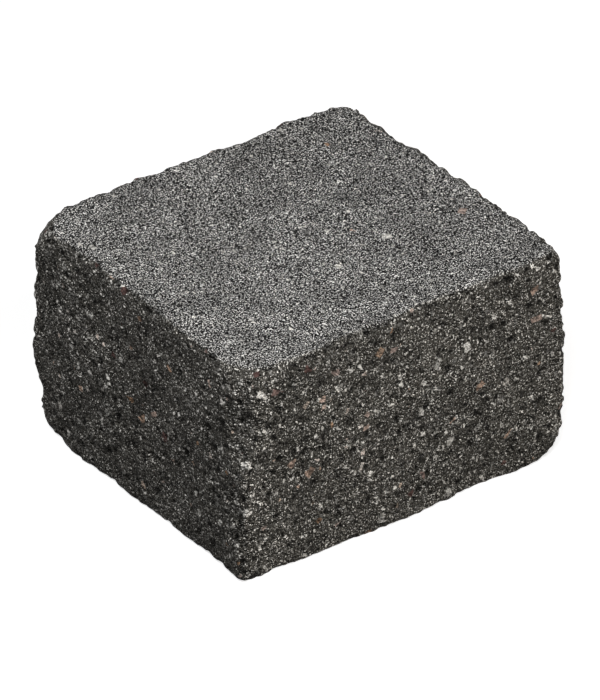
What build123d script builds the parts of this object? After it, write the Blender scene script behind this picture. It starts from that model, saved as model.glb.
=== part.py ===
# Garden wall block: one solid block of dark, granite-coloured concrete.
#
# The two bearing faces, top and bottom, were pressed flat in the mould. The four
# sides were split and hammered, so each is an uneven break surface. The arrises
# are worn off, the corners more than the edges, with a few larger chips broken
# out of them.
#
# Millimetres. Origin at the centre of the bottom bearing face, X along the front
# face, Y from front to back, Z up.

from build123d import *

import os
from dataclasses import dataclass
from math import ceil, cos, pi, sqrt

# Overall size, measured over the highest points of the split faces
block_length = 251.5
block_depth = 233.5
block_height = 150.0

# Wear on the arrises: broken off at a slant
upright_arris_chamfer = 2.6
top_arris_chamfer = 2.4
bottom_arris_chamfer = 1.5

# How a split face is shaped
relief_grid = 11.0  # spacing of the points that carry the break surface
peak_search_step = 3.0  # spacing of the places where its highest point is looked for
splitter_waste = 14.0  # raw concrete outside the break, taken off by the splitter


@dataclass(frozen=True)
class Wave:
    """One swell of a break surface, running across it and up it."""

    rise: float  # height above and below the mean
    across: float  # wavelength along the face
    upward: float  # wavelength up the face
    phase: float  # in turns

    def at(self, u, v):
        return self.rise * cos(2 * pi * (u / self.across + v / self.upward + self.phase))


def stations(width, step):
    """Evenly spaced places across a width, centred on it and at most a step apart."""
    count = ceil(width / step)
    return [(i / count - 0.5) * width for i in range(count + 1)]


class SplitFace:
    """A side of the block: u runs to the right along it, v up from mid height, seen from outside."""

    def __init__(self, normal, span, reach, end_crown, height_crown, tilt, waves):
        self.span = span
        self.end_crown = end_crown  # fall from the middle to the ends
        self.height_crown = height_crown  # fall from mid height to the top and bottom
        self.tilt = tilt  # rise from the left end to the right end
        self.waves = waves
        outward = Vector(normal)
        middle = outward * reach + Vector(0, 0, block_height / 2)
        self.plane = Plane(middle, x_dir=Vector(0, 0, 1).cross(outward), z_dir=outward)
        across = stations(span - 2 * upright_arris_chamfer, peak_search_step)
        upward = stations(block_height - 2 * top_arris_chamfer, peak_search_step)
        self.peak = max(self.shape(u, v) for v in upward for u in across)

    def shape(self, u, v):
        """Height of the bare break surface, before it is set to the overall size."""
        crown = self.end_crown * (2 * u / self.span) ** 2
        crown += self.height_crown * (2 * v / block_height) ** 2
        swell = sum(wave.at(u, v) for wave in self.waves)
        return swell + self.tilt * u / self.span - crown

    def relief(self, u, v):
        """How far the break stands out from the overall size: zero at its highest point."""
        return self.shape(u, v) - self.peak

    def surface(self):
        """The break surface, wider and taller than the side that it cuts."""
        wide = stations(self.span + 2 * splitter_waste, relief_grid)
        tall = stations(block_height + 2 * splitter_waste, relief_grid)
        grid = [[(u, v, self.relief(u, v)) for u in wide] for v in tall]
        sheet = Face.make_surface_from_array_of_points(grid, min_deg=3)
        return self.plane.location * sheet

    def point(self, u, v):
        """The place on the break at u and v, in the block's frame."""
        return self.plane.from_local_coords(Vector(u, v, self.relief(u, v)))


front = SplitFace(
    normal=(0, -1, 0),
    span=block_length,
    reach=block_depth / 2,
    end_crown=0.8,
    height_crown=0.9,
    tilt=-1.6,
    waves=[
        Wave(rise=1.0, across=150.0, upward=500.0, phase=0.22),
        Wave(rise=0.5, across=92.0, upward=120.0, phase=0.55),
        Wave(rise=0.35, across=-70.0, upward=84.0, phase=0.10),
        Wave(rise=0.45, across=54.0, upward=-71.0, phase=0.30),
    ],
)
left = SplitFace(
    normal=(-1, 0, 0),
    span=block_depth,
    reach=block_length / 2,
    end_crown=1.0,
    height_crown=0.9,
    tilt=0.8,
    waves=[
        Wave(rise=1.3, across=160.0, upward=420.0, phase=0.44),
        Wave(rise=0.6, across=96.0, upward=105.0, phase=0.40),
        Wave(rise=0.4, across=-66.0, upward=90.0, phase=0.75),
        Wave(rise=0.45, across=51.0, upward=-68.0, phase=0.05),
    ],
)
back = SplitFace(
    normal=(0, 1, 0),
    span=block_length,
    reach=block_depth / 2,
    end_crown=1.9,
    height_crown=0.5,
    tilt=0.2,
    waves=[
        Wave(rise=0.8, across=170.0, upward=260.0, phase=0.36),
        Wave(rise=0.6, across=-88.0, upward=130.0, phase=0.60),
        Wave(rise=0.4, across=72.0, upward=80.0, phase=0.20),
        Wave(rise=0.45, across=-52.0, upward=-70.0, phase=0.65),
    ],
)
right = SplitFace(
    normal=(1, 0, 0),
    span=block_depth,
    reach=block_length / 2,
    end_crown=1.0,
    height_crown=1.6,
    tilt=-2.0,
    waves=[
        Wave(rise=0.8, across=180.0, upward=-240.0, phase=0.45),
        Wave(rise=0.5, across=90.0, upward=110.0, phase=0.15),
        Wave(rise=0.4, across=-68.0, upward=76.0, phase=0.85),
        Wave(rise=0.45, across=50.0, upward=-72.0, phase=0.40),
    ],
)
sides = [front, left, back, right]


@dataclass(frozen=True)
class Arris:
    """The edge where two faces meet: a place on it, and the way straight out of it."""

    place: Vector
    out: Vector


def rim(side, along, up):
    """A place on the top (up = 1) or bottom (up = -1) arris of a side."""
    place = side.point(along, up * block_height / 2)
    return Arris(place, (side.plane.z_dir + Vector(0, 0, up)).normalized())


def upright(side, neighbour, v, lean=0.0):
    """A place on the upright arris between a side and the next one to its right.

    The way out leans towards the side for a lean above 0, towards the neighbour below 0.
    """
    own = side.point(side.span / 2, v)
    other = neighbour.point(-neighbour.span / 2, v)
    across = side.plane.z_dir
    beside = neighbour.plane.z_dir
    height = Vector(0, 0, own.Z)
    place = across * own.dot(across) + beside * other.dot(beside) + height
    return Arris(place, (across * (1 + lean) + beside * (1 - lean)).normalized())


@dataclass(frozen=True)
class Chip:
    """A shell-shaped chip: bite is its depth below the sharp arris, radius that of its scoop."""

    arris: Arris
    bite: float
    radius: float

    def centre(self):
        return self.arris.place + self.arris.out * (self.radius - self.bite)


chips = [
    # The large chip in the upper half of the near upright arris, struck from the left,
    # one at its head and one above its foot
    Chip(upright(left, front, 33.0, lean=0.45), bite=9.5, radius=58.0),
    Chip(upright(left, front, 62.0, lean=0.2), bite=7.0, radius=30.0),
    Chip(upright(left, front, -45.0), bite=3.6, radius=34.0),
    # The other upright arrises
    Chip(upright(front, right, 22.0), bite=3.4, radius=40.0),
    Chip(upright(front, right, -20.0), bite=2.0, radius=30.0),
    Chip(upright(back, left, 38.0), bite=3.8, radius=26.0),
    Chip(upright(back, left, -50.0), bite=6.2, radius=30.0),
    Chip(upright(right, back, -5.0), bite=4.5, radius=44.0),
    # Top arrises
    Chip(rim(front, -48.0, 1), bite=3.0, radius=34.0),
    Chip(rim(front, 12.0, 1), bite=2.4, radius=22.0),
    Chip(rim(front, 70.0, 1), bite=2.6, radius=30.0),
    Chip(rim(left, -48.0, 1), bite=2.8, radius=26.0),
    Chip(rim(left, 4.0, 1), bite=2.4, radius=20.0),
    Chip(rim(left, 52.0, 1), bite=2.6, radius=34.0),
    Chip(rim(back, -62.0, 1), bite=2.5, radius=24.0),
    Chip(rim(back, 30.0, 1), bite=2.6, radius=32.0),
    Chip(rim(right, 82.0, 1), bite=3.6, radius=18.0),
    Chip(rim(right, 50.0, 1), bite=3.0, radius=16.0),
    Chip(rim(right, -20.0, 1), bite=2.4, radius=26.0),
    # Bottom arrises
    Chip(rim(front, 26.0, -1), bite=2.0, radius=22.0),
    Chip(rim(front, 62.0, -1), bite=1.3, radius=26.0),
    Chip(rim(left, -30.0, -1), bite=2.2, radius=28.0),
    Chip(rim(back, 18.0, -1), bite=2.6, radius=30.0),
    Chip(rim(right, 30.0, -1), bite=2.4, radius=26.0),
]


@dataclass(frozen=True)
class WornCorner:
    """A corner rubbed down to a ball that meets its three arrises at reach from the tip."""

    side: SplitFace
    neighbour: SplitFace
    up: int  # 1 at the top, -1 at the bottom
    reach: float

    def tip(self):
        return upright(self.side, self.neighbour, self.up * block_height / 2).place

    def ball_centre(self):
        outward = self.side.plane.z_dir + self.neighbour.plane.z_dir + Vector(0, 0, self.up)
        return self.tip() - outward * self.reach


worn_corners = [
    WornCorner(left, front, 1, reach=28.0),
    WornCorner(left, front, -1, reach=13.0),
    WornCorner(front, right, 1, reach=14.0),
    WornCorner(front, right, -1, reach=29.0),
    WornCorner(right, back, 1, reach=24.0),
    WornCorner(right, back, -1, reach=18.0),
    WornCorner(back, left, 1, reach=35.0),
    WornCorner(back, left, -1, reach=21.0),
]


with BuildPart() as corner_waste:
    for corner in worn_corners:
        with Locations(corner.tip()):
            Box(2 * corner.reach, 2 * corner.reach, 2 * corner.reach)
    for corner in worn_corners:
        with Locations(corner.ball_centre()):
            Sphere(corner.reach * sqrt(2), mode=Mode.SUBTRACT)


with BuildPart() as chip_waste:
    for chip in chips:
        with Locations(chip.centre()):
            Sphere(chip.radius)


with BuildPart() as block:
    Box(
        block_length + splitter_waste,
        block_depth + splitter_waste,
        block_height,
        align=(Align.CENTER, Align.CENTER, Align.MIN),
    )
    for side in sides:
        break_surface = side.surface()
        outward = break_surface.normal_at().dot(side.plane.z_dir) > 0
        split(bisect_by=break_surface, keep=Keep.BOTTOM if outward else Keep.TOP)
    uprights = block.edges().filter_by(lambda edge: abs(edge.tangent_at(0.5).Z) > 0.9)
    chamfer(uprights, upright_arris_chamfer)
    chamfer(block.faces().sort_by(Axis.Z)[-1].edges(), top_arris_chamfer)
    chamfer(block.faces().sort_by(Axis.Z)[0].edges(), bottom_arris_chamfer)
    add(corner_waste.part, mode=Mode.SUBTRACT)
    add(chip_waste.part, mode=Mode.SUBTRACT)

block.part.label = "wall_block"

os.makedirs("parts", exist_ok=True)
export_step(block.part, "parts/wall_block.step")
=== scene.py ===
"""Looks of the garden wall block: worn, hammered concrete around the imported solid.

Metres, in the solid's own frame: origin at the centre of the bottom face, X along
the front face, Z up.
"""

import math
from typing import NamedTuple

import bpy
import numpy as np
from mathutils import Matrix, Vector, noise


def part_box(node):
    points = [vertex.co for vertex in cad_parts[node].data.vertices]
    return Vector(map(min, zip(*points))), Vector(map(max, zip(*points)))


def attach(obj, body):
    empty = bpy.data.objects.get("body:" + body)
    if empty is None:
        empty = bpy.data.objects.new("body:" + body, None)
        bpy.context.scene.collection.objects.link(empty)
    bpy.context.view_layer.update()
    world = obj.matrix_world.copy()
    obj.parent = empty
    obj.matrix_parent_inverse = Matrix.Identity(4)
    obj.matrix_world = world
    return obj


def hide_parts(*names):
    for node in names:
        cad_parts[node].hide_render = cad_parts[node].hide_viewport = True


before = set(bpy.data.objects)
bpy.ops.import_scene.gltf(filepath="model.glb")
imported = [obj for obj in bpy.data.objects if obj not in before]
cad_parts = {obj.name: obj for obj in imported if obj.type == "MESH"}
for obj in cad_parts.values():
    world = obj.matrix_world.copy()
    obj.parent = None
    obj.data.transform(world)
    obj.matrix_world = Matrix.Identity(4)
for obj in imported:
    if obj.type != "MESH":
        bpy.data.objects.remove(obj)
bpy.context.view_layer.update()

MM = 0.001

# The photograph's view
IMAGE_HEIGHT = 700  # pixels
IMAGE_WIDTH = 600
VIEW_AZIMUTH = math.radians(-35.86)
VIEW_ELEVATION = math.radians(32.73)
VIEW_ROLL = math.radians(0.32)
VIEW_DISTANCE = 5.63
PIXELS_PER_METRE = 1608  # at the block's centre
BLOCK_CENTRE_PX = (297.3, 336.9)
SENSOR = 36.0  # mm, along the image's longer side
CLIP_END = 50

# The studio
FLOOR_REACH = 6.0  # from the middle to each edge
FLOOR_GLOW = 0.7  # seen by the camera, so that the floor comes out pale
FLOOR_ALBEDO = 0.8
FLOOR_ALBEDO_FOR_BLOCK = 0.08  # in the light that it throws on the block
WORLD_LIGHT = 0.02
WHITE = (1.0, 1.0, 1.0)
WARM_WHITE = (1.0, 0.95, 0.88)
LAMP_TARGET = (0.0, 0.0, 0.1)


def smoothstep(low, high, value):
    t = np.clip((value - low) / (high - low), 0.0, 1.0)
    return t * t * (3 - 2 * t)


# Each seed takes its layer to another part of the endless noise
SWELL_SHIFTS = (3.7, 9.1, 5.3)
SPOT_SHIFTS = (7.9, 2.3, 4.1)
DRAW_STRETCH = 91.7  # so that neighbouring cells don't share a draw
OCTAVE_FALL = 1.0  # each octave is half as high as the last
OCTAVE_STEP = 2.0  # and half as large


class Swell(NamedTuple):
    """Rolling noise all over a surface, from about -height to height."""

    height: float  # mm where it is relief
    size: float  # of its lumps
    octaves: int
    seed: int

    def over(self, vectors):
        offset = Vector([self.seed * shift for shift in SWELL_SHIFTS])
        scale = 1.0 / self.size
        places = (v * scale + offset for v in vectors)
        return self.height * np.array([
            noise.fractal(place, OCTAVE_FALL, OCTAVE_STEP, self.octaves) for place in places
        ])


class Spots(NamedTuple):
    """Round bumps, or pits where the height is below 0, in some of the cells of a net."""

    height: float  # mm
    size: float  # of a cell
    seed: int
    share: float  # of the cells
    core: float  # full height as far as this from a cell's middle, in cell sizes
    rim: float  # nothing past this

    def over(self, vectors):
        offset = Vector([self.seed * shift for shift in SPOT_SHIFTS])
        scale = 1.0 / self.size
        distance = np.empty(len(vectors))
        draw = np.empty(len(vectors))
        for i, v in enumerate(vectors):
            distances, middles = noise.voronoi(v * scale + offset)
            distance[i] = distances[0]
            draw[i] = noise.cell(middles[0] * DRAW_STRETCH)
        return self.height * (draw < self.share) * (1 - smoothstep(self.core, self.rim, distance))


# The mesh
QUAD_SIZE = 1.66 * MM
BLOCK_SINK = 0.25  # mm, so that the lumps stand about as high as the solid
OUTWARD_ROUNDS = 2  # smoothing rounds for the way out of the surface

# The pressed faces look straight up or down; their edge against the split sides is ragged
UPRIGHT_ROUNDS = 3  # smoothing rounds for the upright part of the normal
SPLIT_BELOW, PRESSED_ABOVE = 0.86, 0.985  # of that upright part
PRESSED_EDGE = Swell(0.02, 9 * MM, octaves=2, seed=1)

# Wear of the arrises
WEAR_ROUNDS = 6  # smoothing rounds that turn a sharp arris into a fully worn one
WEAR_MEAN = 0.4
WEAR_MOST = 1.5
WEAR_PATCHES = Swell(0.7, 14 * MM, octaves=3, seed=2)
ARRIS_FROM, ARRIS_TO = 0.05, 0.5  # mm that twice that smoothing takes off

# Relief
HAMMERED = [
    Swell(0.6, 18 * MM, octaves=2, seed=3),
    Swell(0.9, 8 * MM, octaves=2, seed=4),
    Swell(0.8, 4.2 * MM, octaves=1, seed=5),
    Spots(-1.7, 9 * MM, seed=6, share=0.35, core=0.05, rim=0.42),
    Spots(0.9, 7 * MM, seed=7, share=0.25, core=0.15, rim=0.45),
]
ARRIS_BITES = [
    Spots(-2.8, 12 * MM, seed=11, share=0.55, core=0.15, rim=0.5),
    Spots(-1.7, 7.5 * MM, seed=12, share=0.5, core=0.15, rim=0.5),
]
SANDY = [
    Swell(0.45, 3.6 * MM, octaves=1, seed=8),
    Swell(0.25, 10 * MM, octaves=2, seed=9),
    Spots(-0.9, 6 * MM, seed=10, share=0.2, core=0.1, rim=0.4),
]
FOOT_HEIGHT = 12.0  # mm, over which the sides are rubbed smoother
FOOT_RELIEF = 0.45  # of the full relief, at the floor
# Painted shade: places that lie below the level around them get darker colour
HOLLOW_ROUNDS = 12  # smoothing rounds that give the level around a place
HOLLOW_FROM, HOLLOW_TO = 0.1, 0.9  # mm below that level


def even_quads(node, size):
    """A closed copy of a node's mesh, in quads of one size."""
    piece = bpy.data.objects.new("rough_block", node.data.copy())
    bpy.context.collection.objects.link(piece)
    remesh = piece.modifiers.new("even_quads", "REMESH")
    remesh.mode = "VOXEL"
    remesh.voxel_size = size
    bpy.context.view_layer.update()
    evaluated = piece.evaluated_get(bpy.context.evaluated_depsgraph_get())
    mesh = bpy.data.meshes.new_from_object(evaluated)
    piece.modifiers.clear()
    piece.data = mesh
    mesh.shade_smooth()
    return piece


class Skin:
    """The vertices of a mesh as arrays, with what is needed to push them about."""

    def __init__(self, mesh):
        self.mesh = mesh
        count = len(mesh.vertices)
        self.places = np.empty(count * 3)
        mesh.vertices.foreach_get("co", self.places)
        self.places = self.places.reshape(-1, 3)
        self.edges = np.empty(len(mesh.edges) * 2, dtype=int)
        mesh.edges.foreach_get("vertices", self.edges)
        self.edges = self.edges.reshape(-1, 2)
        self.degree = np.bincount(self.edges.ravel(), minlength=count)[:, None]

    def spread(self, values, rounds):
        """Values averaged with their neighbours' again and again."""
        first, second = self.edges.T
        for _ in range(rounds):
            total = np.zeros_like(values)
            for axis in range(values.shape[1]):
                total[:, axis] += np.bincount(first, values[second, axis], len(values))
                total[:, axis] += np.bincount(second, values[first, axis], len(values))
            values = 0.5 * values + 0.5 * total / self.degree
        return values

    def store(self):
        self.mesh.vertices.foreach_set("co", self.places.ravel())
        self.mesh.update()

    def normals(self):
        self.store()
        normals = np.empty(len(self.mesh.vertices) * 3)
        self.mesh.vertices.foreach_get("normal", normals)
        return normals.reshape(-1, 3)

    def vectors(self):
        return [Vector(place) for place in self.places]


def split_share(skin, vectors):
    """1 on the split sides and the worn arrises, 0 on the pressed top and bottom."""
    upright = np.abs(skin.spread(skin.normals(), UPRIGHT_ROUNDS)[:, 2])
    ragged = upright + PRESSED_EDGE.over(vectors)
    return 1 - smoothstep(SPLIT_BELOW, PRESSED_ABOVE, ragged)


def wear_down(skin, vectors):
    """Move each place towards the well-rounded block. Gives 1 on the arrises, 0 elsewhere."""
    rounded = skin.spread(skin.places, WEAR_ROUNDS)
    blunted = skin.spread(rounded, WEAR_ROUNDS)
    taken_off = np.linalg.norm(blunted - skin.places, axis=1) / MM
    wear = np.clip(WEAR_MEAN + WEAR_PATCHES.over(vectors), 0.0, WEAR_MOST)
    skin.places += (rounded - skin.places) * wear[:, None]
    return smoothstep(ARRIS_FROM, ARRIS_TO, taken_off)


def height_of(layers, vectors):
    """Several layers of relief together, in millimetres."""
    return sum(layer.over(vectors) for layer in layers)


def rough_block(node):
    """The block as it is: worn arrises, hammered sides, sandy top and bottom."""
    piece = even_quads(node, QUAD_SIZE)
    skin = Skin(piece.data)
    vectors = skin.vectors()
    split = split_share(skin, vectors)
    arris = wear_down(skin, vectors)
    out = skin.spread(skin.normals(), OUTWARD_ROUNDS)
    out /= np.linalg.norm(out, axis=1)[:, None]

    hammered = height_of(HAMMERED, vectors) + arris * height_of(ARRIS_BITES, vectors)
    above_foot = smoothstep(0.0, FOOT_HEIGHT, skin.places[:, 2] / MM)
    hammered *= FOOT_RELIEF + (1 - FOOT_RELIEF) * above_foot
    relief = split * hammered + (1 - split) * height_of(SANDY, vectors) - BLOCK_SINK
    skin.places += out * relief[:, None] * MM
    skin.places[:, 2] = np.clip(skin.places[:, 2], 0.0, None)
    skin.store()

    # Painted shade: how far each place lies below the level around it, kept at the vertices for
    # the material
    depth = skin.spread(relief[:, None], HOLLOW_ROUNDS)[:, 0] - relief
    painted_shade_mask = smoothstep(HOLLOW_FROM, HOLLOW_TO, depth)
    for name, values in (("split", split), ("painted_shade_mask", painted_shade_mask)):
        attribute = piece.data.attributes.new(name, "FLOAT", "POINT")
        attribute.data.foreach_set("value", values)
    return piece


class Shader:
    """Short calls for wiring the nodes of a material or a world."""

    def __init__(self, owner):
        self.owner = owner
        owner.use_nodes = True
        self.tree = owner.node_tree
        self.tree.nodes.clear()

    def node(self, kind, inputs=None, **settings):
        node = self.tree.nodes.new(kind)
        for name, value in settings.items():
            setattr(node, name, value)
        for name, value in (inputs or {}).items():
            self.feed(node.inputs[name], value)
        return node

    def feed(self, socket, value):
        if isinstance(value, bpy.types.NodeSocket):
            self.tree.links.new(value, socket)
        else:
            socket.default_value = value

    def maths(self, operation, first, second):
        node = self.node("ShaderNodeMath", {0: first, 1: second}, operation=operation)
        return node.outputs[0]

    def vectors(self, operation, first, second=(0.0, 0.0, 0.0)):
        node = self.node("ShaderNodeVectorMath", {0: first, 1: second}, operation=operation)
        return node.outputs[0]

    def blend(self, factor, low, high):
        """Between two numbers."""
        node = self.node("ShaderNodeMix", {0: factor, 2: low, 3: high})
        return node.outputs[0]

    def tint(self, factor, low, high):
        """Between two colours."""
        node = self.node("ShaderNodeMix", {0: factor, 6: low, 7: high}, data_type="RGBA")
        return node.outputs[2]

    def band(self, value, low, high, start, end):
        """Start below low, end above high, and a smooth step between."""
        inputs = {
            "Value": value, "From Min": low, "From Max": high, "To Min": start, "To Max": end,
        }
        node = self.node("ShaderNodeMapRange", inputs, interpolation_type="SMOOTHSTEP")
        return node.outputs[0]

    def ramp(self, value, stops):
        """Colours at places along 0 to 1."""
        node = self.node("ShaderNodeValToRGB", {"Fac": value})
        elements = node.color_ramp.elements
        while len(elements) < len(stops):
            elements.new(0.5)
        for element, (place, colour) in zip(elements, stops):
            element.position = place
            element.color = colour
        return node.outputs["Color"]

    def noise(self, vector, size, detail):
        inputs = {"Vector": vector, "Scale": 1 / size, "Detail": detail}
        return self.node("ShaderNodeTexNoise", inputs).outputs

    def stored(self, attribute):
        """A value that the mesh carries at its vertices."""
        return self.node("ShaderNodeAttribute", attribute_name=attribute).outputs["Fac"]


def grey(value, warmth=0.03):
    return (value * (1 + warmth), value, value * (1 - 2 * warmth), 1.0)


DARK_RED = (0.11, 0.065, 0.06, 1)
RED_BROWN = (0.15, 0.09, 0.08, 1)
PINKISH = (0.60, 0.48, 0.43, 1)
PALE_TAN = (0.75, 0.60, 0.52, 1)
RUSTY = (0.50, 0.29, 0.16, 1)
DULL_RUSTY = (0.45, 0.28, 0.17, 1)

# Fine grain: its size, and colours along its noise on the split sides and the pressed faces
GRAIN_SIZE = 0.85 * MM
SIDE_WARMTH = 0.06
SIDE_GRAIN = [
    (0.34, grey(0.018, SIDE_WARMTH)), (0.42, grey(0.072, SIDE_WARMTH)),
    (0.60, grey(0.105, SIDE_WARMTH)), (0.68, grey(0.20, 0.04)), (0.75, grey(0.95)),
]
TOP_WARMTH = 0.015
TOP_GRAIN = [
    (0.42, grey(0.002, TOP_WARMTH)), (0.47, grey(0.04, TOP_WARMTH)),
    (0.555, grey(0.09, TOP_WARMTH)), (0.60, grey(0.48, TOP_WARMTH)), (0.63, grey(1.0, TOP_WARMTH)),
]


class Stones(NamedTuple):
    """Crushed stone of one size."""

    size: float  # of the cells that hold a stone each
    side_share: float  # of the cells, on the split sides
    top_share: float  # on the pressed faces
    reach: float  # half the longest stone, in cell sizes
    slimness: tuple  # how much shorter a stone is along its three axes
    tones: list  # colours along the stones' draws


CHUNKY = (1, 1.2, 1.5)
SLABBY = (1, 1.2, 1.8)
SPLINTERY = (1, 1.5, 2.4)
STONES = [
    Stones(
        2.4 * MM, side_share=0.18, top_share=0.25, reach=0.50, slimness=CHUNKY,
        tones=[(0.0, grey(0.003)), (1.0, grey(0.02))],
    ),
    # Fine light splinters: light grains of the stone, and partly painted glints where grain facets
    # catch the light
    Stones(
        1.4 * MM, side_share=0.22, top_share=0.15, reach=0.60, slimness=SPLINTERY,
        tones=[(0.0, grey(0.40)), (0.4, grey(0.90)), (1.0, grey(1.0))],
    ),
    Stones(
        3.2 * MM, side_share=0.36, top_share=0.08, reach=0.50, slimness=SPLINTERY,
        tones=[(0.0, grey(0.15)), (0.4, grey(0.45)), (0.6, grey(0.95)), (1.0, grey(1.0))],
    ),
    Stones(
        6.0 * MM, side_share=0.34, top_share=0.02, reach=0.46, slimness=SPLINTERY,
        tones=[
            (0.0, grey(0.15)), (0.25, grey(0.35)), (0.45, grey(0.90)), (0.60, PALE_TAN),
            (0.67, RUSTY), (0.70, grey(0.85)), (1.0, grey(1.0)),
        ],
    ),
    Stones(
        11.0 * MM, side_share=0.30, top_share=0.02, reach=0.36, slimness=SLABBY,
        tones=[
            (0.0, DARK_RED), (0.4, RED_BROWN), (0.5, PINKISH),
            (0.60, DULL_RUSTY), (0.66, grey(0.55)), (1.0, grey(1.0)),
        ],
    ),
]
SHORTEST_STONE = 0.4  # of the longest
RAGGED_SIZE = 1.1 * MM  # of the notches in a stone's outline
RAGGED_REACH = 1.2 * MM
PITS_IN_STONES = dict(low=0.36, high=0.44, start=0.6, end=0.0)  # where the grain is darkest

CLOUD_SIZE = 26 * MM
CLOUD_SHADE = dict(low=0.3, high=0.7, start=0.8, end=1.2)
# Painted shade: the colour is multiplied by this in the deepest recesses
DARKEST_PAINTED_SHADE = 0.1
BUMP_SIZE = 2.2 * MM
BUMP_HEIGHT = 6.0 * MM
ROUGHNESS = 0.85
SPECULAR_LEVEL = 0.08


def ragged_places(sh, place):
    """Places shaken by noise, so that outlines drawn on them are ragged."""
    wobble = sh.noise(place, RAGGED_SIZE, detail=2.0)["Color"]
    centred = sh.vectors("SUBTRACT", wobble, (0.5, 0.5, 0.5))
    return sh.vectors("ADD", place, sh.vectors("MULTIPLY", centred, (RAGGED_REACH,) * 3))


def shards(sh, place, split, stones):
    """A box in some of the cells of a net, each turned its own way. Gives mask and tone."""
    cell = sh.node("ShaderNodeTexVoronoi", {"Vector": place, "Scale": 1 / stones.size}).outputs
    lot, tone, length = sh.node("ShaderNodeSeparateColor", {0: cell["Color"]}).outputs
    inputs = {
        "Vector": sh.vectors("SUBTRACT", place, cell["Position"]),
        "Rotation": sh.vectors("MULTIPLY", cell["Color"], (math.tau,) * 3),
    }
    turned = sh.node("ShaderNodeVectorRotate", inputs, rotation_type="EULER_XYZ").outputs[0]
    aside = sh.vectors("ABSOLUTE", sh.vectors("MULTIPLY", turned, stones.slimness))
    x, y, z = sh.node("ShaderNodeSeparateXYZ", {0: aside}).outputs
    farthest = sh.maths("MAXIMUM", sh.maths("MAXIMUM", x, y), z)
    longest = stones.reach * stones.size
    inside = sh.maths("LESS_THAN", farthest, sh.blend(length, SHORTEST_STONE * longest, longest))
    chosen = sh.maths("LESS_THAN", lot, sh.blend(split, stones.top_share, stones.side_share))
    return sh.maths("MULTIPLY", inside, chosen), tone


def grain_and_stones(sh, place, split):
    """Dark matrix full of fine light grain, with shards of light, tan and rusty stone, the finest
    partly painted glints.
    """
    fine = sh.noise(place, GRAIN_SIZE, detail=0.0)["Fac"]
    side_grain = sh.ramp(fine, SIDE_GRAIN)
    colour = sh.tint(split, sh.ramp(fine, TOP_GRAIN), side_grain)
    pitted = sh.band(fine, **PITS_IN_STONES)
    ragged = ragged_places(sh, place)
    for stones in STONES:
        mask, tone = shards(sh, ragged, split, stones)
        stone = sh.tint(pitted, sh.ramp(tone, stones.tones), side_grain)
        colour = sh.tint(mask, colour, stone)
    return colour


def concrete():
    """Granite-coloured concrete, cloudy, with painted shade in its recesses."""
    sh = Shader(bpy.data.materials.new("dark_granite_concrete"))
    place = sh.node("ShaderNodeTexCoord").outputs["Object"]
    colour = grain_and_stones(sh, place, sh.stored("split"))
    cloud = sh.band(sh.noise(place, CLOUD_SIZE, detail=3.0)["Fac"], **CLOUD_SHADE)
    # Random cloudy tone, times painted shade that darkens the recesses
    cloud_and_painted_shade = sh.maths("MULTIPLY", cloud, sh.blend(sh.stored("painted_shade_mask"), 1.0, DARKEST_PAINTED_SHADE))
    shaded = sh.node("ShaderNodeHueSaturation", {"Color": colour, "Value": cloud_and_painted_shade})
    height = sh.noise(place, BUMP_SIZE, detail=1.0)["Fac"]
    bump = sh.node("ShaderNodeBump", {"Height": height, "Strength": 1.0, "Distance": BUMP_HEIGHT})
    surface = sh.node("ShaderNodeBsdfPrincipled", {
        "Base Color": shaded.outputs["Color"],
        "Roughness": ROUGHNESS,
        "Specular IOR Level": SPECULAR_LEVEL,
        "Normal": bump.outputs[0],
    })
    sh.node("ShaderNodeOutputMaterial", {"Surface": surface.outputs[0]})
    return sh.owner


def white_to_the_camera(sh, plain, brightness):
    """White where it is seen or mirrored, plain in the light that it throws on the block."""
    path = sh.node("ShaderNodeLightPath").outputs
    seen = sh.maths("MAXIMUM", path["Is Camera Ray"], path["Is Glossy Ray"])
    seen = sh.maths("MAXIMUM", seen, path["Is Transmission Ray"])
    return sh.blend(seen, plain, brightness)


def pale_floor():
    """The floor's material: pale to the camera, with the block's soft shadow kept."""
    sh = Shader(bpy.data.materials.new("pale_floor"))
    glow = white_to_the_camera(sh, 0.0, FLOOR_GLOW)
    light = sh.node("ShaderNodeEmission", {"Color": (*WHITE, 1), "Strength": glow})
    albedo = white_to_the_camera(sh, FLOOR_ALBEDO_FOR_BLOCK, FLOOR_ALBEDO)
    colour = sh.node("ShaderNodeCombineColor", {0: albedo, 1: albedo, 2: albedo}).outputs[0]
    matt = sh.node("ShaderNodeBsdfDiffuse", {"Color": colour})
    both = sh.node("ShaderNodeAddShader", {0: light.outputs[0], 1: matt.outputs[0]})
    sh.node("ShaderNodeOutputMaterial", {"Surface": both.outputs[0]})
    return sh.owner


def floor():
    """A plain square floor under the block."""
    low, high = -FLOOR_REACH, FLOOR_REACH
    mesh = bpy.data.meshes.new("floor")
    corners = [(low, low, 0), (high, low, 0), (high, high, 0), (low, high, 0)]
    mesh.from_pydata(corners, [], [(0, 1, 2, 3)])
    mesh.materials.append(pale_floor())
    piece = bpy.data.objects.new("floor", mesh)
    bpy.context.collection.objects.link(piece)


def soft_lamp(name, place, size, power, colour=WHITE):
    """A round lamp that points at the block."""
    lamp = bpy.data.lights.new(name, "AREA")
    lamp.color = colour
    lamp.shape = "DISK"
    lamp.size = size
    lamp.energy = power
    holder = bpy.data.objects.new(name, lamp)
    holder.location = place
    aim = Vector(LAMP_TARGET) - Vector(place)
    holder.rotation_euler = aim.to_track_quat("-Z", "Y").to_euler()
    bpy.context.collection.objects.link(holder)


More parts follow.
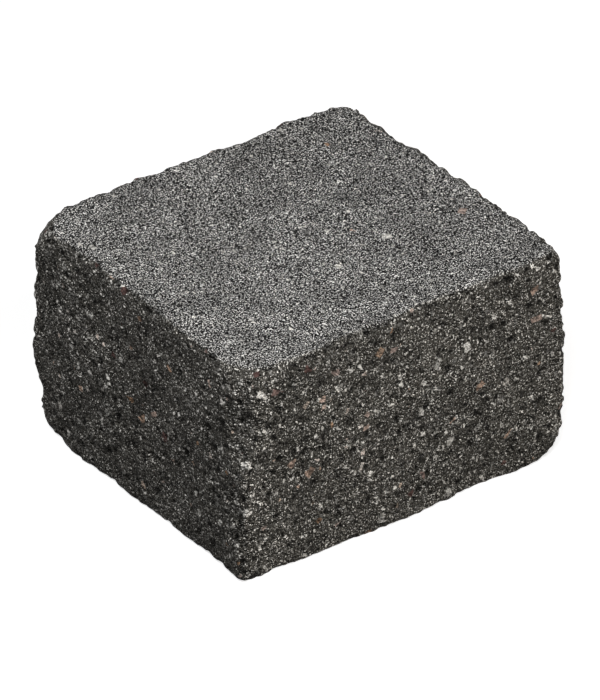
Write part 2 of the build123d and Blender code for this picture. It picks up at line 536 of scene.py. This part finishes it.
def light_the_studio():
    """Four soft lamps, and a world that is white to the camera and dim to the block."""
    soft_lamp("overhead", (-0.22, -0.52, 0.72), size=0.26, power=3.5)
    soft_lamp("behind_left", (-0.6, 0.15, 0.95), size=0.28, power=4.4)
    soft_lamp("behind_right", (1.0, 1.9, 0.7), size=1.0, power=6.0)
    soft_lamp("from_the_right", (1.0, -2.2, 0.9), size=0.8, power=24.0, colour=WARM_WHITE)
    world = bpy.data.worlds.new("studio")
    bpy.context.scene.world = world
    sh = Shader(world)
    strength = white_to_the_camera(sh, WORLD_LIGHT, 1.0)
    background = sh.node("ShaderNodeBackground", {"Color": (*WHITE, 1), "Strength": strength})
    sh.node("ShaderNodeOutputWorld", {"Surface": background.outputs[0]})


def camera():
    """The photograph's view, from almost six metres away with a long lens."""
    to_camera = Vector((
        math.sin(VIEW_AZIMUTH) * math.cos(VIEW_ELEVATION),
        -math.cos(VIEW_AZIMUTH) * math.cos(VIEW_ELEVATION),
        math.sin(VIEW_ELEVATION),
    ))
    level_right = Vector((math.cos(VIEW_AZIMUTH), math.sin(VIEW_AZIMUTH), 0))
    level_up = to_camera.cross(level_right)
    right = level_right * math.cos(VIEW_ROLL) - level_up * math.sin(VIEW_ROLL)
    up = level_right * math.sin(VIEW_ROLL) + level_up * math.cos(VIEW_ROLL)
    low, high = (Vector(corner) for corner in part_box("wall_block"))
    centre = Vector((0, 0, (low.z + high.z) / 2))
    off_x = (IMAGE_WIDTH / 2 - BLOCK_CENTRE_PX[0]) / PIXELS_PER_METRE
    off_y = (IMAGE_HEIGHT / 2 - BLOCK_CENTRE_PX[1]) / PIXELS_PER_METRE
    place = centre + to_camera * VIEW_DISTANCE + right * off_x - up * off_y
    turn = Matrix((right, up, to_camera)).transposed().to_4x4()
    lens = bpy.data.cameras.new("view")
    lens.sensor_width = SENSOR
    lens.lens = PIXELS_PER_METRE * VIEW_DISTANCE * SENSOR / IMAGE_HEIGHT
    lens.clip_end = CLIP_END
    holder = bpy.data.objects.new("view", lens)
    holder.matrix_world = Matrix.Translation(place) @ turn
    bpy.context.collection.objects.link(holder)
    bpy.context.scene.camera = holder


block = rough_block(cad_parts["wall_block"])
block.data.materials.clear()
block.data.materials.append(concrete())
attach(block, "root")
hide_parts("wall_block")

floor()
light_the_studio()
camera()
bpy.context.scene.view_settings.view_transform = "Standard"
